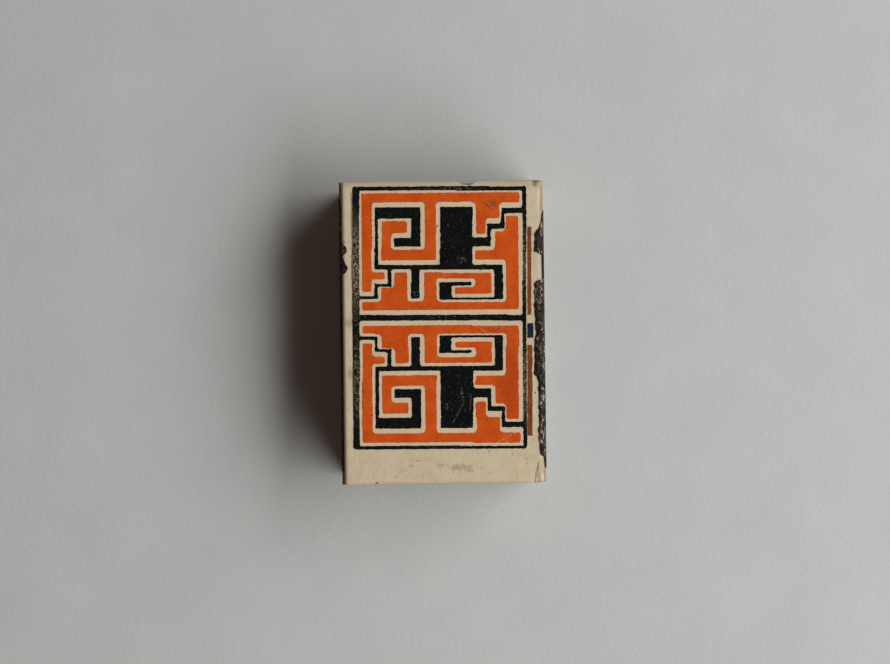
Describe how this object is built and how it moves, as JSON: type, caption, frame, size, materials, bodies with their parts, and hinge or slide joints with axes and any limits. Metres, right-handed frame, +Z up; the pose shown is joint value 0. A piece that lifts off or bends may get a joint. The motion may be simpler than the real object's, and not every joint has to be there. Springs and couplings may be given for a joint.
{
  "type": "matchbox",
  "caption": "Card matchbox with a sliding open tray of wooden matches, striking coats down both narrow sides and a stepped fret printed on top.",
  "frame": {"origin": "centre of the sleeve's bottom face, where the box rests on a table", "axes": "+X across the box, +Y along it towards the match heads, +Z up out of the printed face"},
  "size_m": [0.036, 0.053, 0.015],
  "materials": {
    "sleeve_card": "matte",
    "tray_card": "matte",
    "striking_composition": "rough",
    "splint_wood": "matte",
    "orange_ink": "matte",
    "brown_ink": "matte",
    "black_ink": "matte",
    "navy_ink": "matte"
  },
  "bodies": {
    "sleeve": {"sleeve": "sleeve_card", "striker_right": "striking_composition", "striker_left": "striking_composition", "print_black": "black_ink", "print_orange_upper_spiral": "orange_ink", "print_orange_upper_steps": "orange_ink", "print_orange_lower_spiral": "orange_ink", "print_orange_lower_steps": "orange_ink", "print_bar_upper": "brown_ink", "print_bar_lower": "brown_ink", "print_square": "navy_ink"},
    "tray": {"tray": "tray_card", "match_01": "splint_wood", "match_02": "splint_wood", "match_03": "splint_wood", "match_04": "splint_wood", "match_05": "splint_wood", "match_06": "splint_wood", "match_07": "splint_wood", "match_08": "splint_wood", "match_09": "splint_wood", "match_10": "splint_wood", "match_11": "splint_wood", "match_12": "splint_wood", "match_13": "splint_wood", "match_14": "splint_wood", "match_15": "splint_wood", "match_16": "splint_wood", "match_17": "splint_wood", "match_18": "splint_wood", "match_19": "splint_wood", "match_20": "splint_wood", "match_21": "splint_wood", "match_22": "splint_wood", "match_23": "splint_wood", "match_24": "splint_wood", "match_25": "splint_wood", "match_26": "splint_wood", "match_27": "splint_wood", "match_28": "splint_wood", "match_29": "splint_wood", "match_30": "splint_wood", "match_31": "splint_wood", "match_32": "splint_wood", "match_33": "splint_wood", "match_34": "splint_wood", "match_35": "splint_wood", "match_36": "splint_wood"}
  },
  "joints": [
    {"name": "tray_slide", "type": "slide", "parent": "sleeve", "child": "tray", "axis": [0, 1, 0], "range_m": [-0.054, 0.054]}
  ]
}
